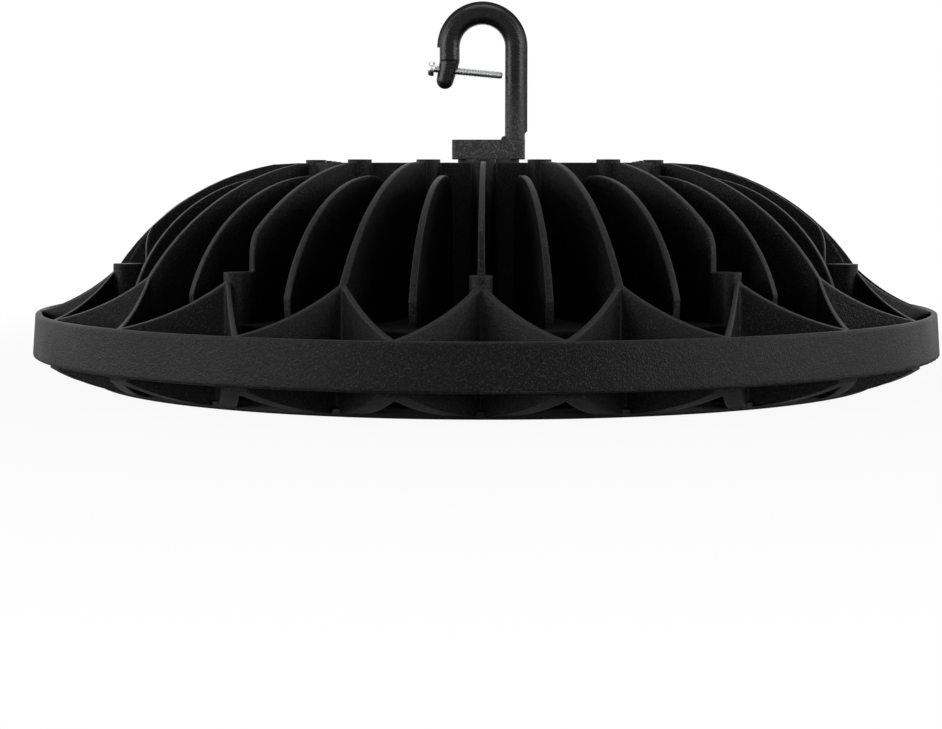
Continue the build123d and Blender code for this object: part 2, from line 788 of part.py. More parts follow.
def board_disc(under_z, thickness):
    """Disc with the board's outline, lead hole and screw holes."""
    with BuildPart() as disc:
        with BuildSketch(Plane.XY.offset(under_z)):
            Circle(board_radius)
            Circle(board_hole_radius, mode=Mode.SUBTRACT)
            with PolarLocations(board_screw_radius, board_screw_count, start_angle=-90):
                Circle(board_screw_diameter / 2 + running_gap, mode=Mode.SUBTRACT)
        extrude(amount=thickness)
    return disc.part


# Light engine: pad, aluminium board, rings of chips, fixing screws and the lead connector
thermal_pad = board_disc(board_top_z, thermal_pad_thickness)
led_board = board_disc(board_under_z, board_thickness)

with BuildPart() as led_chips:
    with BuildSketch(Plane.XY.offset(board_under_z)):
        for ring in range(chip_rings):
            ring_radius = first_chip_radius + ring * chip_ring_step
            ring_count = chips_first_ring + ring * chips_more_per_ring
            with PolarLocations(ring_radius, ring_count):
                Rectangle(chip_size, chip_size)
    extrude(amount=-chip_height)

with BuildPart() as board_connector:
    with BuildSketch(Plane.XY.offset(board_under_z)):
        with Locations((board_hole_radius + connector_size, 0)):
            Rectangle(connector_size, connector_size)
    extrude(amount=-connector_height)

with BuildPart() as led_leads:
    for side in (-1, 1):
        lead_y = side * lead_spacing / 2
        with BuildLine() as lead_route:
            down = Line(
                (0, lead_y, deck_z + driver_pad_thickness),
                (0, lead_y, board_under_z - connector_height / 2 + lead_bend),
            )
            turn = TangentArc(down @ 1, (lead_bend, lead_y, board_under_z - connector_height / 2), tangent=down % 1)
            Line(turn @ 1, (board_hole_radius + connector_size / 2, lead_y, board_under_z - connector_height / 2))
        with BuildSketch(Plane(origin=(0, lead_y, deck_z + driver_pad_thickness), z_dir=(0, 0, -1))):
            Circle(lead_diameter / 2)
        sweep(path=lead_route.wires()[0])

# Optical closure: gasket, lens and the clamp ring with its collar
lens_gasket = flat_ring(
    2 * (lens_radius - running_gap),
    2 * (lens_radius - running_gap - lens_gasket_width),
    lens_gasket_thickness,
    Plane.XY.offset(lens_top_z),
)

with BuildPart() as lens:
    with BuildSketch(Plane.XY.offset(lens_under_z)):
        Circle(lens_radius)
    extrude(amount=lens_thickness)

with BuildPart() as clamp_ring:
    with BuildSketch(Plane.XZ) as ring_section:
        with BuildLine():
            Polyline(
                (ring_inner_radius + collar_flare, 0),
                (ring_outer_radius, 0),
                (ring_outer_radius, ring_thickness),
                (ring_inner_radius + collar_flare + collar_wall, ring_thickness),
                (ring_inner_radius + collar_wall, lens_under_z),
                (ring_inner_radius, lens_under_z),
                close=True,
            )
        make_face()
        chamfer(ring_section.vertices().group_by(Axis.Y)[0], ring_edge_chamfer)
    revolve(axis=Axis.Z)
    with BuildSketch(Plane.XY):
        with PolarLocations(clamp_screw_radius, fin_pairs, start_angle=-90):
            Circle(clamp_screw_diameter / 2 + running_gap)
    extrude(amount=ring_thickness, mode=Mode.SUBTRACT)
    with BuildSketch(Plane.XY):
        with PolarLocations(clamp_screw_radius, fin_pairs, start_angle=-90):
            Circle(countersunk_head_ratio * clamp_screw_diameter / 2 + fit_clearance)
    extrude(amount=(countersunk_head_ratio - 1) * clamp_screw_diameter / 2, taper=45, mode=Mode.SUBTRACT)

# Cable inlet and pressure vent on the two cast pads at the rear
gland_plane = radial_plane(fitting_pad_radius, fitting_angles[0], fitting_z)
vent_plane = radial_plane(fitting_pad_radius, fitting_angles[1], fitting_z)
gland_axis = Axis(gland_plane.origin, gland_plane.z_dir)
gland_face = seal_thickness + gland_flange_length
gland_body_length = gland_thread_length + gland_face + gland_collar_length
gland_washer = flat_ring(gland_flats, gland_thread + 2 * running_gap, seal_thickness, gland_plane)
vent_washer = flat_ring(vent_flats, vent_thread + 2 * running_gap, seal_thickness, vent_plane)

with BuildPart() as gland_body:
    with BuildSketch(gland_plane.offset(seal_thickness)):
        RegularPolygon(gland_flats / 2, 6, major_radius=False)
    extrude(amount=gland_flange_length)
    with BuildSketch(gland_plane.offset(seal_thickness)):
        Circle(gland_thread / 2)
    extrude(amount=-gland_thread_length - seal_thickness)
    with BuildSketch(gland_plane.offset(gland_face)):
        Circle(gland_collar_diameter / 2)
    extrude(amount=gland_collar_length)
    with BuildSketch(gland_plane.offset(-gland_thread_length)):
        Circle(gland_bore / 2)
    extrude(amount=gland_body_length, mode=Mode.SUBTRACT)

gland_seal = flat_ring(
    gland_seal_diameter, gland_seal_bore, gland_seal_length, gland_plane.offset(gland_face + gland_collar_length)
)

with BuildPart() as gland_nut:
    with BuildSketch(gland_plane.offset(gland_face + running_gap)):
        Circle(gland_nut_diameter / 2)
    extrude(amount=gland_nut_length)
    chamfer(gland_nut.faces().sort_by(gland_axis)[-1].edges(), gland_nut_chamfer)
    with BuildSketch(gland_plane.offset(gland_face + running_gap)):
        Circle(gland_collar_diameter / 2 + fit_clearance)
    extrude(amount=gland_collar_length - running_gap, mode=Mode.SUBTRACT)
    with BuildSketch(gland_plane.offset(gland_face + gland_collar_length)):
        Circle(gland_seal_diameter / 2 + fit_clearance)
    extrude(amount=gland_seal_length + fit_clearance, mode=Mode.SUBTRACT)
    with BuildSketch(gland_plane.offset(gland_face)):
        Circle(gland_bore / 2)
    extrude(amount=gland_nut_length + 1, mode=Mode.SUBTRACT)

with BuildPart() as vent_plug:
    with BuildSketch(vent_plane.offset(seal_thickness)):
        RegularPolygon(vent_flats / 2, 6, major_radius=False)
    extrude(amount=vent_length)
    with BuildSketch(vent_plane.offset(seal_thickness)):
        Circle(vent_thread / 2)
    extrude(amount=-vent_thread_length - seal_thickness)
    with BuildSketch(vent_plane.offset(seal_thickness + vent_length)):
        Rectangle(vent_slot_width, 2 * vent_flats)
    extrude(amount=-vent_slot_width, mode=Mode.SUBTRACT)

cover_screws = countersunk_screws(cover_screw_diameter, cover_screw_length, box_top_z, cover_screw_points, False)
clamp_screws = countersunk_screws(
    clamp_screw_diameter,
    clamp_screw_length,
    0,
    [polar_point(clamp_screw_radius, 2 * step * fin_pitch) for step in range(fin_pairs)],
    True,
)
board_screws = pan_screws(
    board_screw_diameter,
    board_screw_length,
    board_under_z,
    [polar_point(board_screw_radius, 360 * step / board_screw_count) for step in range(board_screw_count)],
    True,
)
driver_screws = pan_screws(
    driver_screw_diameter, driver_screw_length, deck_z + driver_foot_thickness, driver_screw_points, False
)

pieces = {
    "heat_sink": heat_sink.part,
    "cover_plate": cover_plate.part,
    "cover_gasket": cover_gasket.part,
    "cover_screws": cover_screws,
    "hook": hook.part,
    "hook_washer": hook_washer,
    "hook_lock_washer": hook_lock_washer,
    "hook_bolt": hook_bolt.part,
    "safety_screw": safety_screw.part,
    "led_driver": led_driver.part,
    "driver_pad": driver_pad.part,
    "driver_screws": driver_screws,
    "lead_grommet": lead_grommet.part,
    "led_leads": led_leads.part,
    "thermal_pad": thermal_pad,
    "led_board": led_board,
    "led_chips": led_chips.part,
    "board_connector": board_connector.part,
    "board_screws": board_screws,
    "lens_gasket": lens_gasket,
    "lens": lens.part,
    "clamp_ring": clamp_ring.part,
    "clamp_screws": clamp_screws,
    "gland_washer": gland_washer,
    "gland_body": gland_body.part,
    "gland_seal": gland_seal,
    "gland_nut": gland_nut.part,
    "vent_washer": vent_washer,
    "vent_plug": vent_plug.part,
}
os.makedirs("parts", exist_ok=True)
for name, piece in pieces.items():
    piece.label = name
    export_step(piece, f"parts/{name}.step")
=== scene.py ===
from math import cos, pi, radians, sin, tau

import bmesh
import bpy
from mathutils import Matrix, Vector


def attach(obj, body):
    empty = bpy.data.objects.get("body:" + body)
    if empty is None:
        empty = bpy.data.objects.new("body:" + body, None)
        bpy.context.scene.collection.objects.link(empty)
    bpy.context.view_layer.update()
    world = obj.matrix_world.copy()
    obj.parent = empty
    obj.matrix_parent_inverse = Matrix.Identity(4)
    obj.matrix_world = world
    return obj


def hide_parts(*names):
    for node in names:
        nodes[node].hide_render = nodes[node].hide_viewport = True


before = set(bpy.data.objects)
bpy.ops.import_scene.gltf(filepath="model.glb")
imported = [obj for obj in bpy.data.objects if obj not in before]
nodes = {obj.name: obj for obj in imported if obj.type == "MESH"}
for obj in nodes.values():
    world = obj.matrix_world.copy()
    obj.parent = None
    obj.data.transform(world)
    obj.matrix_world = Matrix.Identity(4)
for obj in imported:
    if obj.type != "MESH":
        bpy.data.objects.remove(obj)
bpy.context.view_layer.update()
MM = 0.001

# Sizes and places that the finished pieces share with the solids, in millimetres, and a tilt in radians
LENS_UNDER = 13.5
LENS_THICKNESS = 3.0
LENS_RADIUS = 126.0
BOARD_UNDER = 19.5
CHIP_SIZE = 3.5
CHIP_HEIGHT = 0.8
BOX_TOP = 80.4
COVER_SCREW_REACH = 51.5
CLAMP_SCREW_RADIUS = 134.4
SAFETY_SCREW_SEAT = (-19.576, 0, 116.381)
SAFETY_SCREW_TILT = radians(5.5)
SAFETY_HEAD_WIDTH = 5.5
SAFETY_HEAD_HEIGHT = 2.4
SAFETY_SHANK = 3.0
SAFETY_LENGTH = 26.0

# Radius of each ring of chips with the number of chips in it, and the number of clamp screws
CHIP_RINGS = [(32.0 + 17.5 * ring, 10 + 6 * ring) for ring in range(5)]
CLAMP_SCREW_COUNT = 10

# Details that the solids leave out, in millimetres
DOME_RADIUS = 7.4
DOME_HEIGHT = 3.0
DOME_SUNK = 0.05
POOL_RADIUS = 1.4
POOL_BEVEL = 0.05
POOL_PROUD = 0.05
THREAD_PITCH = 0.6
THREAD_DEPTH = 0.32
SOCKET_FLATS = 2.5
SOCKET_DEPTH = 1.5

# Width of a cross recess's floor against its mouth
RECESS_TAPER = 0.7

# Each screw stops at a turn of its own: degrees per millimetre of its place, and degrees per screw
COVER_TURN_X = 17
COVER_TURN_Y = 31
CLAMP_TURN = 23

# Steps round a turned form
THREAD_STEPS = 16
SAFETY_SEGMENTS = 32
SOCKET_SEGMENTS = 24
LENS_SEGMENTS = 128
POOL_SEGMENTS = 12

# An edge of two faces is sharp above this angle, in degrees
SHARP_ANGLE = 40.0

# Heights in millimetres between which the coarse casting of the hook's foot, with its painted glints, gives
# way to smooth paint
COARSE_CAST_START = 92.0
COARSE_CAST_END = 112.0

# Range that a noise texture seldom leaves
NOISE_LOW = 0.3
NOISE_HIGH = 0.7

# Width of the painted highlight line along the edges against that of the rounding, and the least of that line
# left between its broken spots
HIGHLIGHT_LINE_SHARE = 0.35
LEAST_EDGE_HIGHLIGHT = 0.36

# Brightness of a bare metal's darker lines against the rest, and their scale at 1 mm before the stretch
LINE_SHADE = 0.78
LINE_SCALE = 80.0


# Shader parts


def new_group(name, inputs, outputs):
    """Empty shader node group with float inputs; returns it, its given sockets and those that it puts out."""
    group = bpy.data.node_groups.new(name, "ShaderNodeTree")
    for label, default in inputs:
        socket = group.interface.new_socket(label, in_out="INPUT", socket_type="NodeSocketFloat")
        socket.default_value = default
    for label, kind in outputs:
        group.interface.new_socket(label, in_out="OUTPUT", socket_type=kind)
    given = group.nodes.new("NodeGroupInput").outputs
    put_out = group.nodes.new("NodeGroupOutput").inputs
    return group, given, put_out


def add_node(tree, kind, settings=None, **inputs):
    """One shader node; inputs go by name, or by number as i0 and i1, and hold values or sockets to link."""
    node = tree.nodes.new("ShaderNode" + kind)
    for key, value in (settings or {}).items():
        setattr(node, key, value)
    for key, value in inputs.items():
        label = int(key[1:]) if key[1:].isdigit() else key.replace("_", " ")
        if isinstance(value, bpy.types.NodeSocket):
            tree.links.new(value, node.inputs[label])
        else:
            node.inputs[label].default_value = value
    return node


def object_place(tree):
    """Object coordinates, in metres."""
    return add_node(tree, "TexCoord").outputs["Object"]


def reckon(tree, operation, one, other):
    """Result of a Math node over two values or sockets."""
    return add_node(tree, "Math", {"operation": operation}, i0=one, i1=other).outputs["Value"]


def noise(tree, place, scale, detail, roughness=0.5):
    """Noise over a place, its scale in grains per metre."""
    texture = add_node(tree, "TexNoise", Vector=place, Scale=scale, Detail=detail, Roughness=roughness)
    return texture.outputs["Fac"]


def scaled_range(tree, value, low, high, to_low, to_high, easing="LINEAR"):
    """A value mapped from one range to another and held within it."""
    mapped = add_node(
        tree,
        "MapRange",
        {"interpolation_type": easing},
        Value=value,
        From_Min=low,
        From_Max=high,
        To_Min=to_low,
        To_Max=to_high,
    )
    return mapped.outputs["Result"]


def ramp(tree, value, none, full):
    """Mask that is 0 where a value is at none and 1 where it is at full."""
    return scaled_range(tree, value, none, full, 0.0, 1.0)


def varied(tree, texture, least, most):
    """A noise texture spread over the range from least to most."""
    return scaled_range(tree, texture, NOISE_LOW, NOISE_HIGH, least, most)


def make_coat_grain():
    """Powder coat and rough casting: fine specks, a soft orange peel and broad unevenness."""
    group, given, put_out = new_group(
        "coat_grain",
        [("Speck size mm", 0.6), ("Peel size mm", 2.5), ("Speck amount", 0.3), ("Peel amount", 1.0)],
        [("Specks", "NodeSocketFloat"), ("Height", "NodeSocketFloat"), ("Uneven", "NodeSocketFloat")],
    )
    place = object_place(group)
    fine = noise(group, place, reckon(group, "DIVIDE", 1 / MM, given["Speck size mm"]), 2.0, 0.7)
    peel = noise(group, place, reckon(group, "DIVIDE", 1 / MM, given["Peel size mm"]), 3.0, 0.55)
    speck_height = reckon(group, "MULTIPLY", fine, given["Speck amount"])
    peel_height = reckon(group, "MULTIPLY", peel, given["Peel amount"])
    group.links.new(ramp(group, fine, 0.52, 0.72), put_out["Specks"])
    group.links.new(reckon(group, "ADD", peel_height, speck_height), put_out["Height"])
    group.links.new(noise(group, place, 28.0, 3.0, 0.6), put_out["Uneven"])
    return group


def make_soft_edge_highlight():
    """Corners rounded by the coat: the rounded normal, and a broken mask of the edges for a painted highlight
    line.
    """
    group, given, put_out = new_group(
        "soft_edge_highlight",
        [("Edge width mm", 0.6), ("Least edge", 0.45)],
        [("Edge", "NodeSocketFloat"), ("Rounded", "NodeSocketVector")],
    )
    radius = reckon(group, "MULTIPLY", given["Edge width mm"], MM)
    rounded = add_node(group, "Bevel", {"samples": 6}, Radius=radius).outputs["Normal"]
    highlight_radius = reckon(group, "MULTIPLY", radius, HIGHLIGHT_LINE_SHARE)
    corner = add_node(group, "Bevel", {"samples": 4}, Radius=highlight_radius).outputs["Normal"]
    flat = add_node(group, "NewGeometry").outputs["True Normal"]
    turned = add_node(group, "VectorMath", {"operation": "DOT_PRODUCT"}, i0=corner, i1=flat)
    # Mask of the painted highlight line along the edges, broken up with noise
    edge = ramp(group, turned.outputs["Value"], 0.985, 0.86)
    breakup = noise(group, object_place(group), 420.0, 3.0)
    kept = scaled_range(group, breakup, 0.35, 0.65, given["Least edge"], 1.0)
    group.links.new(reckon(group, "MULTIPLY", edge, kept), put_out["Edge"])
    group.links.new(rounded, put_out["Rounded"])
    return group


def make_drawn_lines():
    """Fine scratches of a machined, rolled or drawn metal, stretched along one axis."""
    group, given, put_out = new_group(
        "drawn_lines",
        [("Line size mm", 0.4), ("Stretch", 12.0)],
        [("Lines", "NodeSocketFloat")],
    )
    squeeze = add_node(group, "CombineXYZ", X=1.0, Y=given["Stretch"], Z=given["Stretch"])
    drawn = add_node(
        group, "VectorMath", {"operation": "MULTIPLY"}, i0=object_place(group), i1=squeeze.outputs["Vector"]
    )
    scale = reckon(group, "DIVIDE", LINE_SCALE, given["Line size mm"])
    group.links.new(noise(group, drawn.outputs["Vector"], scale, 2.0), put_out["Lines"])
    return group


COAT_GRAIN = make_coat_grain()
SOFT_EDGE_HIGHLIGHT = make_soft_edge_highlight()
DRAWN_LINES = make_drawn_lines()


def place_group(tree, group, **values):
    """A shared group in a material, with its own values; returns what it puts out."""
    node = tree.nodes.new("ShaderNodeGroup")
    node.node_tree = group
    for key, value in values.items():
        node.inputs[key.replace("_", " ")].default_value = value
    return node.outputs


def new_material(name, **shader_values):
    """Material with a Principled BSDF; returns it, its tree and the shader."""
    material = bpy.data.materials.new(name)
    material.use_nodes = True
    tree = material.node_tree
    shader = tree.nodes["Principled BSDF"]
    for key, value in shader_values.items():
        shader.inputs[key.replace("_", " ")].default_value = value
    return material, tree, shader


def colour_mix(tree, factor, one, other):
    """Colour that runs from one to the other with a factor socket."""
    mix = tree.nodes.new("ShaderNodeMix")
    mix.data_type = "RGBA"
    tree.links.new(factor, mix.inputs[0])
    for socket, colour in ((mix.inputs[6], one), (mix.inputs[7], other)):
        if isinstance(colour, bpy.types.NodeSocket):
            tree.links.new(colour, socket)
        else:
            socket.default_value = (*colour, 1)
    return mix.outputs[2]


def raise_bump(tree, shader, height, strength, depth_mm, **base):
    """Bump of a height in millimetres, over the surface or over a base Normal."""
    bump = add_node(tree, "Bump", Height=height, Strength=strength, Distance=depth_mm * MM, **base)
    tree.links.new(bump.outputs["Normal"], shader.inputs["Normal"])


def coated(
    name,
    dark,
    light,
    rough,
    speck_mm,
    peel_mm,
    bump_mm,
    edge_highlight_colour,
    edge_mm=0.6,
    specular=0.35,
    peel=1.0,
):
    """Black coat or moulding: specks, orange peel and a thin painted highlight line along the edges."""
    material, tree, shader = new_material(name, Specular_IOR_Level=specular)
    grain = place_group(
        tree, COAT_GRAIN, Speck_size_mm=speck_mm, Peel_size_mm=peel_mm, Speck_amount=0.8, Peel_amount=peel
    )
    edge = place_group(tree, SOFT_EDGE_HIGHLIGHT, Edge_width_mm=edge_mm, Least_edge=LEAST_EDGE_HIGHLIGHT)
    base = colour_mix(tree, grain["Specks"], dark, light)
    roughness = varied(tree, grain["Uneven"], rough - 0.06, rough + 0.06)
    # Painted highlight: a lighter line along the edges stands in for the light that the rounded corners catch
    tree.links.new(colour_mix(tree, edge["Edge"], base, edge_highlight_colour), shader.inputs["Base Color"])
    tree.links.new(roughness, shader.inputs["Roughness"])
    raise_bump(tree, shader, grain["Height"], 1.0, bump_mm, Normal=edge["Rounded"])
    return material


def bare_metal(name, colour, rough, line_mm, stretch):
    """Plated, stainless or drawn metal with fine lines."""
    material, tree, shader = new_material(name, Metallic=1.0)
    lines = place_group(tree, DRAWN_LINES, Line_size_mm=line_mm, Stretch=stretch)["Lines"]
    darker = tuple(c * LINE_SHADE for c in colour)
    roughness = varied(tree, lines, rough - 0.06, rough + 0.08)
    tree.links.new(colour_mix(tree, lines, darker, colour), shader.inputs["Base Color"])
    tree.links.new(roughness, shader.inputs["Roughness"])
    raise_bump(tree, shader, lines, 0.4, 0.02)
    return material


def soft_skin(name, colour, rough=0.8):
    """Rubber, silicone or moulded plastic with a dull, faintly uneven skin."""
    material, tree, shader = new_material(name)
    grain = place_group(tree, COAT_GRAIN, Speck_size_mm=0.3, Peel_size_mm=1.2, Speck_amount=0.4)
    paler = tuple(min(1.0, c * 1.25 + 0.005) for c in colour)
    roughness = varied(tree, grain["Uneven"], rough - 0.05, rough + 0.08)
    tree.links.new(colour_mix(tree, grain["Uneven"], colour, paler), shader.inputs["Base Color"])
    tree.links.new(roughness, shader.inputs["Roughness"])
    raise_bump(tree, shader, grain["Height"], 0.6, 0.03)
    return material


# Finishes of the lamp


def make_hook_paint():
    """Gloss black paint over the hook; where the coarse casting of its foot shows through it is rougher, with
    lighter specks that are painted glints.
    """
    material, tree, shader = new_material("hook_paint_black", Specular_IOR_Level=0.16)
    grain = place_group(
        tree, COAT_GRAIN, Speck_size_mm=0.7, Peel_size_mm=1.3, Speck_amount=0.9, Peel_amount=0.8
    )
    edge = place_group(tree, SOFT_EDGE_HIGHLIGHT, Edge_width_mm=0.8, Least_edge=LEAST_EDGE_HIGHLIGHT)
    height = add_node(tree, "SeparateXYZ", Vector=object_place(tree)).outputs["Z"]
    coarse = ramp(tree, height, COARSE_CAST_END * MM, COARSE_CAST_START * MM)
    smooth = colour_mix(tree, grain["Specks"], (0.003, 0.003, 0.0032), (0.012, 0.012, 0.0125))
    # Painted glints: lighter specks on the foot stand in for light caught by its rough casting
    painted_glint_specks = colour_mix(tree, grain["Specks"], (0.02, 0.02, 0.0205), (0.1, 0.1, 0.102))
    base = colour_mix(tree, coarse, smooth, painted_glint_specks)
    # Painted highlight: a lighter line along the hook's edges stands in for the light that they catch
    edge_highlighted = colour_mix(tree, edge["Edge"], base, (0.03, 0.03, 0.031))
    roughness = scaled_range(tree, coarse, 0.0, 1.0, 0.22, 0.4)
    strength = scaled_range(tree, coarse, 0.0, 1.0, 0.3, 1.0)
    tree.links.new(edge_highlighted, shader.inputs["Base Color"])
    tree.links.new(roughness, shader.inputs["Roughness"])
    raise_bump(tree, shader, grain["Height"], strength, 0.4, Normal=edge["Rounded"])
    return material


def make_board_white():
    """White solder mask over aluminium, with the ring-shaped copper tracks showing faintly through it."""
    material, tree, shader = new_material("board_white_mask")
    wave = add_node(
        tree,
        "TexWave",
        {"wave_type": "RINGS", "rings_direction": "Z"},
        Vector=object_place(tree),
        Scale=18.0,
        Distortion=0.0,
    )
    rings = wave.outputs["Fac"]
    tracks = ramp(tree, rings, 0.3, 0.4)
    mask = colour_mix(tree, tracks, (0.78, 0.78, 0.75), (0.88, 0.88, 0.86))
    tree.links.new(mask, shader.inputs["Base Color"])
    tree.links.new(scaled_range(tree, rings, 0.0, 1.0, 0.3, 0.4), shader.inputs["Roughness"])
    raise_bump(tree, shader, tracks, 0.5, 0.03)
    return material


def make_phosphor():
    """Yellow phosphor pool of a light chip, finely grained."""
    material, tree, shader = new_material("chip_phosphor", Roughness=0.35)
    grain = noise(tree, object_place(tree), 1500.0, 2.0)
    yellow = colour_mix(tree, grain, (0.82, 0.55, 0.06), (0.95, 0.78, 0.22))
    tree.links.new(yellow, shader.inputs["Base Color"])
    raise_bump(tree, shader, grain, 0.4, 0.02)
    return material


def make_lens_clear():
    """Clear polycarbonate with the faint haze of a moulded face."""
    material, tree, shader = new_material(
        "lens_polycarbonate", IOR=1.58, Transmission_Weight=1.0, Metallic=0.0
    )
    haze = noise(tree, object_place(tree), 60.0, 3.0)
    clear = colour_mix(tree, haze, (0.93, 0.95, 0.96), (0.97, 0.98, 0.98))
    tree.links.new(clear, shader.inputs["Base Color"])
    tree.links.new(varied(tree, haze, 0.03, 0.09), shader.inputs["Roughness"])
    return material


# Each edge colour below is lighter than its coat and paints a highlight line along the edges
powder_coat = coated(
    "powder_coat_black",
    (0.0015, 0.0015, 0.0016),
    (0.026, 0.026, 0.027),
    rough=0.38,
    speck_mm=0.55,
    peel_mm=1.5,
    bump_mm=0.34,
    edge_highlight_colour=(0.03, 0.03, 0.031),
    edge_mm=1.3,
    specular=0.085,
    peel=0.4,
)
ring_coat = coated(
    "clamp_ring_coat",
    (0.005, 0.005, 0.0052),
    (0.020, 0.020, 0.021),
    rough=0.46,
    speck_mm=0.5,
    peel_mm=1.2,
    bump_mm=0.08,
    edge_highlight_colour=(0.014, 0.014, 0.0145),
    specular=0.12,
)
hook_paint = make_hook_paint()
washer_oxide = coated(
    "washer_black_oxide",
    (0.004, 0.004, 0.0042),
    (0.012, 0.012, 0.0125),
    rough=0.45,
    speck_mm=0.4,
    peel_mm=1.0,
    bump_mm=0.03,
    edge_highlight_colour=(0.02, 0.02, 0.02),
    specular=0.1,
)
nylon = coated(
    "gland_nylon_black",
    (0.014, 0.014, 0.015),
    (0.022, 0.022, 0.023),
    rough=0.4,
    speck_mm=0.35,
    peel_mm=1.0,
    bump_mm=0.03,
    edge_highlight_colour=(0.035, 0.035, 0.036),
)
zinc = bare_metal("zinc_plate", (0.56, 0.57, 0.58), 0.28, 0.6, 3.0)
stainless = bare_metal("stainless_steel", (0.62, 0.62, 0.61), 0.3, 0.5, 6.0)
driver_case = bare_metal("driver_case_aluminium", (0.74, 0.75, 0.76), 0.36, 0.35, 16.0)
black_rubber = soft_skin("rubber_black", (0.014, 0.014, 0.014))
silicone = soft_skin("silicone_pale", (0.55, 0.55, 0.53), 0.6)
thermal_silicone = soft_skin("thermal_pad_grey", (0.27, 0.29, 0.32), 0.7)
lead_cover = soft_skin("lead_insulation_red", (0.42, 0.02, 0.015), 0.45)
connector_nylon = soft_skin("connector_nylon_white", (0.78, 0.77, 0.72), 0.4)
chip_body = soft_skin("chip_body_white", (0.86, 0.86, 0.83), 0.4)
board_white = make_board_white()
phosphor = make_phosphor()
lens_clear = make_lens_clear()

FINISHES = {
    "heat_sink": powder_coat,
    "cover_plate": powder_coat,
    "clamp_ring": ring_coat,
    "hook": hook_paint,
    "hook_washer": washer_oxide,
    "hook_bolt": zinc,
    "hook_lock_washer": zinc,
    "safety_screw": zinc,
    "board_screws": zinc,
    "driver_screws": zinc,
    "cover_screws": stainless,
    "clamp_screws": stainless,
    "gland_washer": black_rubber,
    "gland_seal": black_rubber,
    "vent_washer": black_rubber,
    "lead_grommet": black_rubber,
    "cover_gasket": silicone,
    "lens_gasket": silicone,
    "thermal_pad": thermal_silicone,
    "driver_pad": thermal_silicone,
    "led_driver": driver_case,
    "led_leads": lead_cover,
    "led_board": board_white,
    "led_chips": phosphor,
    "board_connector": connector_nylon,
    "lens": lens_clear,
    "gland_body": nylon,
    "gland_nut": nylon,
    "vent_plug": nylon,
}
for name, finish in FINISHES.items():
    mesh = nodes[name].data
    mesh.materials.clear()
    mesh.materials.append(finish)


# Pieces that are finished here


def edges_of(verts):
    """Edges that join the given vertices."""
    inside = set(verts)
    return [edge for edge in {e for v in verts for e in v.link_edges} if all(v in inside for v in edge.verts)]


def open_edges(bm):
    """Edges with a face on one side only."""
    return [edge for edge in bm.edges if len(edge.link_faces) == 1]


def ring_of(bm, radius, height, segments):
    """Open circle at a height; returns its edges."""
    place = Matrix.Translation((0, 0, height))
    made = bmesh.ops.create_circle(bm, segments=segments, radius=radius, matrix=place)
    return edges_of(made["verts"])


def skin_rings(bm, mouth, outline, segments):
    """Rings at each (radius, height) of an outline, bridged from an open mouth; returns the last ring."""
    last = mouth
    for radius, height in outline:
        following = ring_of(bm, radius, height, segments)
        bmesh.ops.bridge_loops(bm, edges=last + following)
        last = following
    return last


def cross_recess(bm, span, slot, depth):
    """Cross recess sunk from the plane z = 0 and narrowing downwards; returns the edges of its mouth."""
    verts = bmesh.ops.create_grid(bm, x_segments=3, y_segments=3, size=span / 2)["verts"]
    for vert in verts:
        for axis in range(2):
            if abs(vert.co[axis]) < span / 3:
                vert.co[axis] = slot / 2 if vert.co[axis] > 0 else -slot / 2
    faces = list({f for v in verts for f in v.link_faces})
    corners = [f for f in faces if min(abs(c) for c in f.calc_center_median()[:2]) > slot / 2]
    bmesh.ops.delete(bm, geom=corners, context="FACES")
    faces = [f for f in faces if f.is_valid]
    mouth_verts = {v for f in faces for v in f.verts}
    mouth = [e for e in edges_of(mouth_verts) if len(e.link_faces) == 1]
    floor = bmesh.ops.extrude_face_region(bm, geom=faces)["geom"]
    floor_verts = [item for item in floor if isinstance(item, bmesh.types.BMVert)]
    bmesh.ops.scale(bm, vec=(RECESS_TAPER, RECESS_TAPER, 1), verts=floor_verts)
    bmesh.ops.translate(bm, vec=(0, 0, -depth), verts=floor_verts)
    bmesh.ops.delete(bm, geom=[f for f in faces if f.is_valid], context="FACES_ONLY")
    return [e for e in mouth if e.is_valid]


def hex_recess(bm, flats, depth):
    """Six-sided socket sunk from the plane z = 0; returns the edges of its mouth."""
    corner = flats / 2 / cos(pi / 6)
    mouth = ring_of(bm, corner, 0, 6)
    under = ring_of(bm, corner, -depth, 6)
    bmesh.ops.bridge_loops(bm, edges=mouth + under)
    bmesh.ops.holes_fill(bm, edges=under, sides=6)
    return mouth


def close_end(bm, ring):
    """Flat cap on an open ring."""
    bmesh.ops.contextual_create(bm, geom=ring)


def finish_shell(bm):
    """Merges doubles and turns every face outwards."""
    bmesh.ops.remove_doubles(bm, verts=bm.verts, dist=1e-4)
    bmesh.ops.recalc_face_normals(bm, faces=bm.faces)


def new_object(name, data):
    """Object that is linked to the scene."""
    made = bpy.data.objects.new(name, data)
    bpy.context.scene.collection.objects.link(made)
    return made


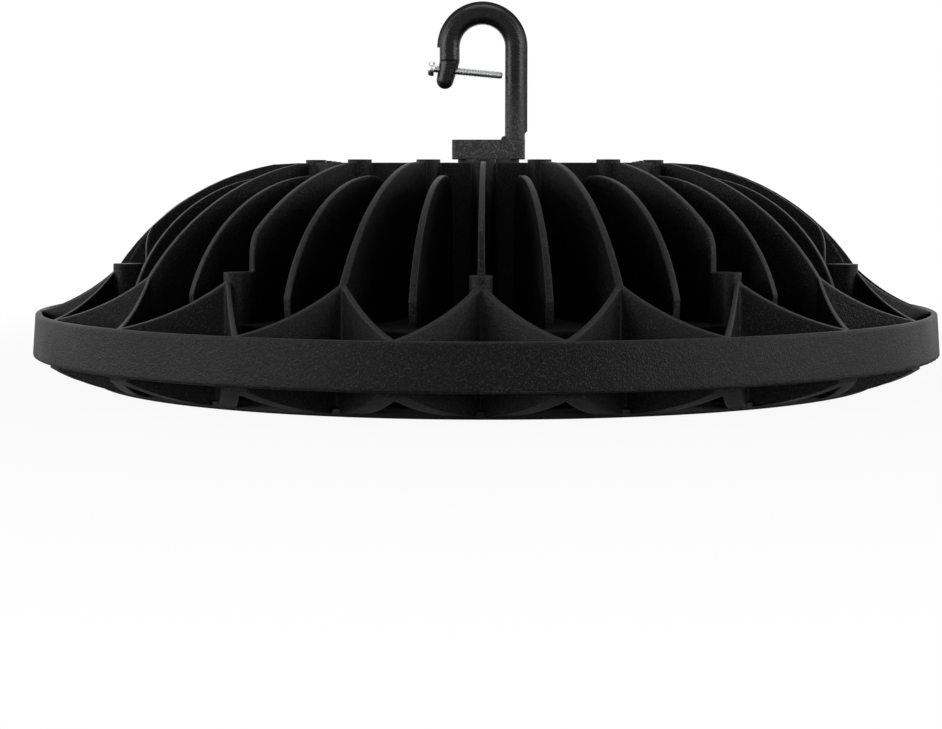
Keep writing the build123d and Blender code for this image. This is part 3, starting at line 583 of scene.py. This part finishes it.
def to_piece(name, parts, materials, replaced):
    """One piece from bmeshes in millimetres: placed copies, joined, scaled to metres and put on the lamp."""
    mesh = bpy.data.meshes.new(name)
    joined = bmesh.new()
    for part, places in parts:
        for place in places:
            copy = part.copy()
            bmesh.ops.transform(copy, matrix=place, verts=copy.verts)
            held = bpy.data.meshes.new(name + "_part")
            copy.to_mesh(held)
            joined.from_mesh(held)
            bpy.data.meshes.remove(held)
            copy.free()
    bmesh.ops.scale(joined, vec=(MM, MM, MM), verts=joined.verts)
    for face in joined.faces:
        face.smooth = True
    for edge in joined.edges:
        if len(edge.link_faces) == 2 and edge.calc_face_angle(0) > radians(SHARP_ANGLE):
            edge.smooth = False
    joined.to_mesh(mesh)
    joined.free()
    for material in materials:
        mesh.materials.append(material)
    piece = new_object(name, mesh)
    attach(piece, "root")
    for node in replaced:
        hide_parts(node)


def along(origin, direction):
    """Matrix that turns +Z to a direction and moves to an origin."""
    return Matrix.Translation(origin) @ direction.to_track_quat("Z", "Y").to_matrix().to_4x4()


def make_safety_screw():
    """Pan head screw with a cross recess and a rolled thread along its whole shank."""
    core = SAFETY_SHANK / 2 - THREAD_DEPTH
    crest = SAFETY_SHANK / 2 - 0.02
    tip = -SAFETY_HEAD_HEIGHT - SAFETY_LENGTH
    body = bmesh.new()
    mouth = cross_recess(body, span=SAFETY_HEAD_WIDTH * 0.55, slot=SAFETY_HEAD_WIDTH * 0.13, depth=1.2)
    outline = [
        (1.95, -0.03),
        (2.3, -0.22),
        (2.58, -0.55),
        (2.72, -1.0),
        (SAFETY_HEAD_WIDTH / 2, -1.5),
        (2.7, -2.3),
        (2.62, -SAFETY_HEAD_HEIGHT),
        (core, -SAFETY_HEAD_HEIGHT),
        (core, tip + 0.4),
        (core - 0.35, tip),
    ]
    close_end(body, skin_rings(body, mouth, outline, SAFETY_SEGMENTS))
    finish_shell(body)
    thread = bmesh.new()
    flanks = [(core - 0.1, 0.28), (crest, 0.04), (crest, -0.04), (core - 0.1, -0.28)]
    corners = [thread.verts.new((radius, 0, height)) for radius, height in flanks]
    profile = [thread.edges.new(ends) for ends in zip(corners, corners[1:])]
    turns = (SAFETY_LENGTH - 1.2) / THREAD_PITCH
    bmesh.ops.spin(
        thread,
        geom=corners + profile,
        cent=(0, 0, 0),
        axis=(0, 0, 1),
        dvec=(0, 0, -THREAD_PITCH / THREAD_STEPS),
        angle=tau * turns,
        steps=int(THREAD_STEPS * turns),
    )
    bmesh.ops.translate(thread, vec=(0, 0, -SAFETY_HEAD_HEIGHT - 0.5), verts=thread.verts)
    bmesh.ops.recalc_face_normals(thread, faces=thread.faces)
    direction = Vector((-cos(SAFETY_SCREW_TILT), 0, sin(SAFETY_SCREW_TILT)))
    place = along(Vector(SAFETY_SCREW_SEAT) + direction * SAFETY_HEAD_HEIGHT, direction)
    parts = [(body, [place]), (thread, [place])]
    to_piece("safety_screw_threaded", parts, [zinc], ["safety_screw"])


def make_countersunk(head, shank, length):
    """Countersunk socket screw, its head's top in the plane z = 0 and its shank down."""
    screw = bmesh.new()
    mouth = hex_recess(screw, SOCKET_FLATS, SOCKET_DEPTH)
    outline = [
        (head / 2 - 0.35, 0),
        (head / 2, -0.12),
        (shank / 2, -(head - shank) / 2),
        (shank / 2, -length),
    ]
    close_end(screw, skin_rings(screw, mouth, outline, SOCKET_SEGMENTS))
    finish_shell(screw)
    return screw


def make_socket_screws():
    """The cover's eight screws and the clamp ring's ten."""
    screw = make_countersunk(head=7.6, shank=4.0, length=14.0)
    reach = (-COVER_SCREW_REACH, 0, COVER_SCREW_REACH)
    cover_places = [
        Matrix.Translation((x, y, BOX_TOP))
        @ Matrix.Rotation(radians(COVER_TURN_X * x + COVER_TURN_Y * y), 4, "Z")
        for x in reach
        for y in reach
        if x or y
    ]
    to_piece("cover_socket_screws", [(screw, cover_places)], [stainless], ["cover_screws"])
    clamp_places = [
        Matrix.Rotation(tau * step / CLAMP_SCREW_COUNT, 4, "Z")
        @ Matrix.Translation((0, -CLAMP_SCREW_RADIUS, 0))
        @ Matrix.Rotation(pi, 4, "X")
        @ Matrix.Rotation(radians(CLAMP_TURN * step), 4, "Z")
        for step in range(CLAMP_SCREW_COUNT)
    ]
    to_piece("clamp_socket_screws", [(screw, clamp_places)], [stainless], ["clamp_screws"])


def chip_places(height):
    """Matrices of the light chips' centres at a height, facing outwards along their rings."""
    return [
        Matrix.Rotation(tau * step / count, 4, "Z") @ Matrix.Translation((radius, 0, height))
        for radius, count in CHIP_RINGS
        for step in range(count)
    ]


def make_light_chips():
    """White chip bodies, each with its phosphor pool standing a little proud."""
    body_height = CHIP_HEIGHT - POOL_PROUD
    chip = bmesh.new()
    cube = bmesh.ops.create_cube(chip, size=1.0)["verts"]
    bmesh.ops.scale(chip, vec=(CHIP_SIZE, CHIP_SIZE, body_height), verts=cube)
    bmesh.ops.translate(chip, vec=(0, 0, -body_height / 2), verts=cube)
    pool = bmesh.new()
    ring = ring_of(pool, POOL_RADIUS - POOL_BEVEL, -CHIP_HEIGHT, POOL_SEGMENTS)
    close_end(pool, skin_rings(pool, ring, [(POOL_RADIUS, -CHIP_HEIGHT + 0.1)], POOL_SEGMENTS))
    bmesh.ops.holes_fill(pool, edges=open_edges(pool), sides=POOL_SEGMENTS)
    finish_shell(pool)
    for face in pool.faces:
        face.material_index = 1
    places = chip_places(BOARD_UNDER)
    parts = [(chip, places), (pool, places)]
    to_piece("chip_packages", parts, [chip_body, phosphor], ["led_chips"])


def make_domed_lens():
    """Clear disc with a shallow dome under each chip."""
    disc = bmesh.new()
    rim = ring_of(disc, LENS_RADIUS, LENS_UNDER, LENS_SEGMENTS)
    close_end(disc, skin_rings(disc, rim, [(LENS_RADIUS, LENS_UNDER + LENS_THICKNESS)], LENS_SEGMENTS))
    close_end(disc, open_edges(disc))
    finish_shell(disc)
    dome = bmesh.new()
    ball = bmesh.ops.create_uvsphere(dome, u_segments=20, v_segments=10, radius=DOME_RADIUS)["verts"]
    bmesh.ops.scale(dome, vec=(1, 1, DOME_HEIGHT / DOME_RADIUS), verts=ball)
    bmesh.ops.bisect_plane(
        dome,
        geom=[*dome.verts, *dome.edges, *dome.faces],
        plane_co=(0, 0, 0),
        plane_no=(0, 0, 1),
        clear_outer=True,
    )
    close_end(dome, open_edges(dome))
    finish_shell(dome)
    parts = [(disc, [Matrix.Identity(4)]), (dome, chip_places(LENS_UNDER + DOME_SUNK))]
    to_piece("lens_domed", parts, [lens_clear], ["lens"])


make_safety_screw()
make_socket_screws()
make_light_chips()
make_domed_lens()


# Floor, light and camera

# Whiteness of the floor beside the lamp, to the camera and in reflections; below full white the grey paper
# shows as a painted shade round the lamp, deepest in reflections under it
NEAR_WHITENESS = 0.93
UNDER_WHITENESS = 0.1

# Distances from the lamp's middle over which both rise to full white, in metres
NEAR_RISE = (0.15, 0.5)
UNDER_RISE = (0.18, 0.6)

# Grey of the floor's paper, and glow of the surroundings
PAPER_GREY = 0.35
WORLD_GLOW = 0.05

# The floor's line from the camera's side to the top of the backdrop, and its width, in metres
FLOOR_PROFILE = [(-4, -3, -0.0002), (-4, 3, -0.0002), (-4, 4, 1.0), (-4, 4, 4.0)]
FLOOR_WIDTH = 8
FLOOR_BEND = 0.7

# The camera as the photograph's perspective gives it: metres, degrees and millimetres of lens
CAMERA_PLACE = (0.0080, -0.75053, 0.07282)
CAMERA_PITCH_DOWN = 5.26
CAMERA_YAW = 1.04
CAMERA_LENS = 74.82
CAMERA_SENSOR = 36


def seen_rays(tree):
    """Whether a ray comes from the camera, and whether it comes from a mirroring or clear surface."""
    path = add_node(tree, "LightPath").outputs
    return path["Is Camera Ray"], reckon(tree, "MAXIMUM", path["Is Glossy Ray"], path["Is Transmission Ray"])


def make_studio_paper():
    """Grey paper that looks almost white to the camera, with a trace of the lamp's shadow, and a painted
    shade round the lamp that is deep in reflections.
    """
    material = bpy.data.materials.new("studio_paper")
    material.use_nodes = True
    tree = material.node_tree
    tree.nodes.clear()
    output = tree.nodes.new("ShaderNodeOutputMaterial")
    lit = add_node(tree, "BsdfDiffuse", Color=(PAPER_GREY, PAPER_GREY, PAPER_GREY, 1))
    white = add_node(tree, "Emission", Color=(1, 1, 1, 1), Strength=1.0)
    away = add_node(tree, "VectorMath", {"operation": "LENGTH"}, i0=object_place(tree)).outputs["Value"]
    # Painted shade: the floor near the lamp is less white to the camera, a faint darker ring round it
    whiteness = scaled_range(tree, away, *NEAR_RISE, NEAR_WHITENESS, 1.0, "SMOOTHSTEP")
    # Painted shade: reflections see the paper near the lamp mostly grey, standing in for the lamp's shadow
    # under it
    mirrored_whiteness = scaled_range(tree, away, *UNDER_RISE, UNDER_WHITENESS, 1.0, "SMOOTHSTEP")
    camera_ray, mirrored_ray = seen_rays(tree)
    faced = reckon(tree, "MULTIPLY", camera_ray, whiteness)
    mirrored = reckon(tree, "MULTIPLY", mirrored_ray, mirrored_whiteness)
    share = reckon(tree, "MAXIMUM", mirrored, faced)
    mixed = add_node(tree, "MixShader", Fac=share, i1=lit.outputs[0], i2=white.outputs[0])
    tree.links.new(mixed.outputs[0], output.inputs["Surface"])
    return material


def make_studio_floor():
    """Seamless floor that rises into a backdrop behind the lamp."""
    sweep = bmesh.new()
    corners = [sweep.verts.new(corner) for corner in FLOOR_PROFILE]
    for ends in zip(corners, corners[1:]):
        sweep.edges.new(ends)
    bmesh.ops.bevel(
        sweep, geom=corners[1:3], offset=FLOOR_BEND, segments=12, profile=0.5, affect="VERTICES", material=-1
    )
    made = bmesh.ops.extrude_edge_only(sweep, edges=list(sweep.edges))["geom"]
    far_side = [item for item in made if isinstance(item, bmesh.types.BMVert)]
    bmesh.ops.translate(sweep, vec=(FLOOR_WIDTH, 0, 0), verts=far_side)
    bmesh.ops.recalc_face_normals(sweep, faces=sweep.faces)
    mesh = bpy.data.meshes.new("studio_floor")
    sweep.to_mesh(mesh)
    sweep.free()
    mesh.materials.append(make_studio_paper())
    floor = new_object("studio_floor", mesh)


def make_world():
    """White to the camera and in reflections, a faint glow for the rest."""
    world = bpy.data.worlds.new("studio")
    bpy.context.scene.world = world
    world.use_nodes = True
    tree = world.node_tree
    tree.nodes.clear()
    seen = reckon(tree, "MAXIMUM", *seen_rays(tree))
    strength = scaled_range(tree, seen, 0.0, 1.0, WORLD_GLOW, 1.0)
    glow = add_node(tree, "Background", Color=(1, 1, 1, 1), Strength=strength)
    output = tree.nodes.new("ShaderNodeOutputWorld")
    tree.links.new(glow.outputs[0], output.inputs["Surface"])


def soft_light(name, place, target, size, power):
    """Area light at a place, turned to a target."""
    data = bpy.data.lights.new(name, "AREA")
    data.energy = power
    data.shape = "RECTANGLE"
    data.size, data.size_y = size
    lamp = new_object(name, data)
    lamp.location = place
    lamp.rotation_euler = (Vector(target) - Vector(place)).to_track_quat("-Z", "Y").to_euler()


def make_camera():
    """Camera just above the rim, pitched down a little, as close as the photograph's perspective says."""
    data = bpy.data.cameras.new("camera")
    data.sensor_width = CAMERA_SENSOR
    data.lens = CAMERA_LENS
    data.clip_start = 0.05
    camera = new_object("camera", data)
    camera.location = CAMERA_PLACE
    camera.rotation_euler = (radians(90 - CAMERA_PITCH_DOWN), 0, radians(CAMERA_YAW))
    bpy.context.scene.camera = camera


make_studio_floor()
make_world()
soft_light("left_light", (-1.18, -0.65, 0.36), (0, 0, 0.04), (1.2, 0.68), 20)
soft_light("right_light", (1.2, -0.62, 0.36), (0, 0, 0.04), (1.2, 0.68), 18)
soft_light("left_rear_light", (-1.3, 0.35, 0.6), (0, 0, 0.05), (1.1, 0.8), 4)
soft_light("right_rear_light", (1.3, 0.35, 0.6), (0, 0, 0.05), (1.1, 0.8), 4)
soft_light("top_light", (0.0, 0.1, 1.4), (0, 0, 0.05), (1.0, 1.0), 7)
make_camera()
bpy.context.scene.view_settings.view_transform = "Standard"
